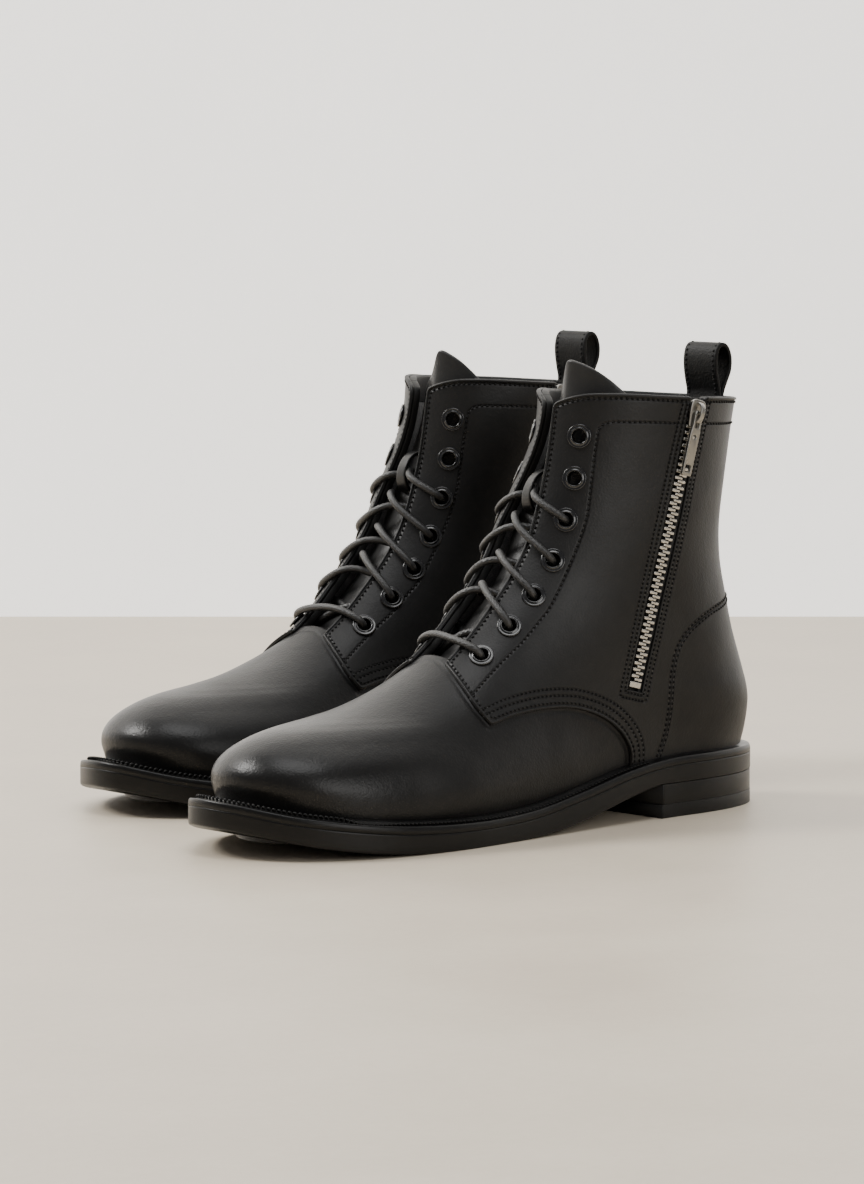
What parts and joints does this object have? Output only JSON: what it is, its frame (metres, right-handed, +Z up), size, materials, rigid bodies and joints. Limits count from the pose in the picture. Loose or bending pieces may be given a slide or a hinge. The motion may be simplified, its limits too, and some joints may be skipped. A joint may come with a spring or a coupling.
{
  "type": "lace-up side-zip ankle boots",
  "caption": "Pair of lace-up leather ankle boots with a side zip, stitched welt, low heel and rear pull loops; worn on the feet, shaft opens by lace or zip.",
  "frame": {"origin": "on the ground, at the centre of the bounding box of the pair standing side by side", "axes": "+X from heels to toes, +Y towards the wearer's left, +Z up; the left boot is on the +Y side"},
  "size_m": [0.347, 0.24, 0.2064],
  "materials": {
    "rubber_sole": "satin moulded rubber, polished edge",
    "welt_leather": "waxed black welt leather",
    "thread": "waxed black thread",
    "cork": "cork and latex paste",
    "steel": "rolled spring steel",
    "insole_board": "vegetable tanned board",
    "upper_leather": "smooth black calf, semi-matt with a polished toe",
    "stiffener": "thermoplastic stiffener board",
    "lining_textile": "cotton drill backing",
    "lining_leather": "matt black lining leather",
    "strap_leather": "folded black leather strap",
    "tongue_leather": "soft black leather",
    "eyelet_enamel": "black enamelled brass, worn bright at the rim",
    "lace_cotton": "round braided cotton, waxed black",
    "zip_tape": "black woven polyester tape",
    "zip_metal": "nickel-plated, polished",
    "zip_puller_metal": "brushed nickel"
  },
  "bodies": {
    "left_boot": {"left_outsole": "rubber_sole", "left_heel_block": "rubber_sole", "left_heel_top_lift": "rubber_sole", "left_welt": "welt_leather", "left_welt_stitching": "thread", "left_cork_filler": "cork", "left_shank": "steel", "left_insole": "insole_board", "left_footbed": "lining_leather", "left_vamp": "upper_leather", "left_toe_puff": "stiffener", "left_vamp_lining": "lining_textile", "left_quarter_lateral": "upper_leather", "left_quarter_medial": "upper_leather", "left_counter_panel": "upper_leather", "left_heel_stiffener": "stiffener", "left_interlining": "lining_textile", "left_lining": "lining_leather", "left_collar_facing": "lining_leather", "left_backstay": "upper_leather", "left_pull_loop": "strap_leather", "left_tongue": "tongue_leather", "left_lace_keeper": "strap_leather", "left_eyelets": "eyelet_enamel", "left_lace": "lace_cotton", "left_zip_tape": "zip_tape", "left_zip_guard": "lining_leather", "left_zip_teeth": "zip_metal"},
    "left_zip_slider": {"left_zip_slider": "zip_metal"},
    "left_zip_puller": {"left_zip_puller": "zip_puller_metal"},
    "right_boot": {"right_outsole": "rubber_sole", "right_heel_block": "rubber_sole", "right_heel_top_lift": "rubber_sole", "right_welt": "welt_leather", "right_welt_stitching": "thread", "right_cork_filler": "cork", "right_shank": "steel", "right_insole": "insole_board", "right_footbed": "lining_leather", "right_vamp": "upper_leather", "right_toe_puff": "stiffener", "right_vamp_lining": "lining_textile", "right_quarter_lateral": "upper_leather", "right_quarter_medial": "upper_leather", "right_counter_panel": "upper_leather", "right_heel_stiffener": "stiffener", "right_interlining": "lining_textile", "right_lining": "lining_leather", "right_collar_facing": "lining_leather", "right_backstay": "upper_leather", "right_pull_loop": "strap_leather", "right_tongue": "tongue_leather", "right_lace_keeper": "strap_leather", "right_eyelets": "eyelet_enamel", "right_lace": "lace_cotton", "right_zip_tape": "zip_tape", "right_zip_guard": "lining_leather", "right_zip_teeth": "zip_metal"},
    "right_zip_slider": {"right_zip_slider": "zip_metal"},
    "right_zip_puller": {"right_zip_puller": "zip_puller_metal"}
  },
  "joints": [
    {"name": "right_boot_lift", "type": "slide", "parent": "left_boot", "child": "right_boot", "axis": [0, 0, 1], "range_m": [0, 0.25]},
    {"name": "left_zip_slide", "type": "slide", "parent": "left_boot", "child": "left_zip_slider", "axis": [-0.2342, 0.057, 0.9705], "range_m": [-0.112, 0]},
    {"name": "left_puller_swing", "type": "hinge", "parent": "left_zip_slider", "child": "left_zip_puller", "pos_m": [-0.06355, 0.11315, 0.17797], "axis": [0.9721, 0, 0.2346], "range_deg": [0, 150]},
    {"name": "right_zip_slide", "type": "slide", "parent": "right_boot", "child": "right_zip_slider", "axis": [-0.2342, 0.0596, 0.9704], "range_m": [-0.112, 0]},
    {"name": "right_puller_swing", "type": "hinge", "parent": "right_zip_slider", "child": "right_zip_puller", "pos_m": [-0.10554, -0.02124, 0.17796], "axis": [0.9721, 0, 0.2346], "range_deg": [0, 150]}
  ]
}
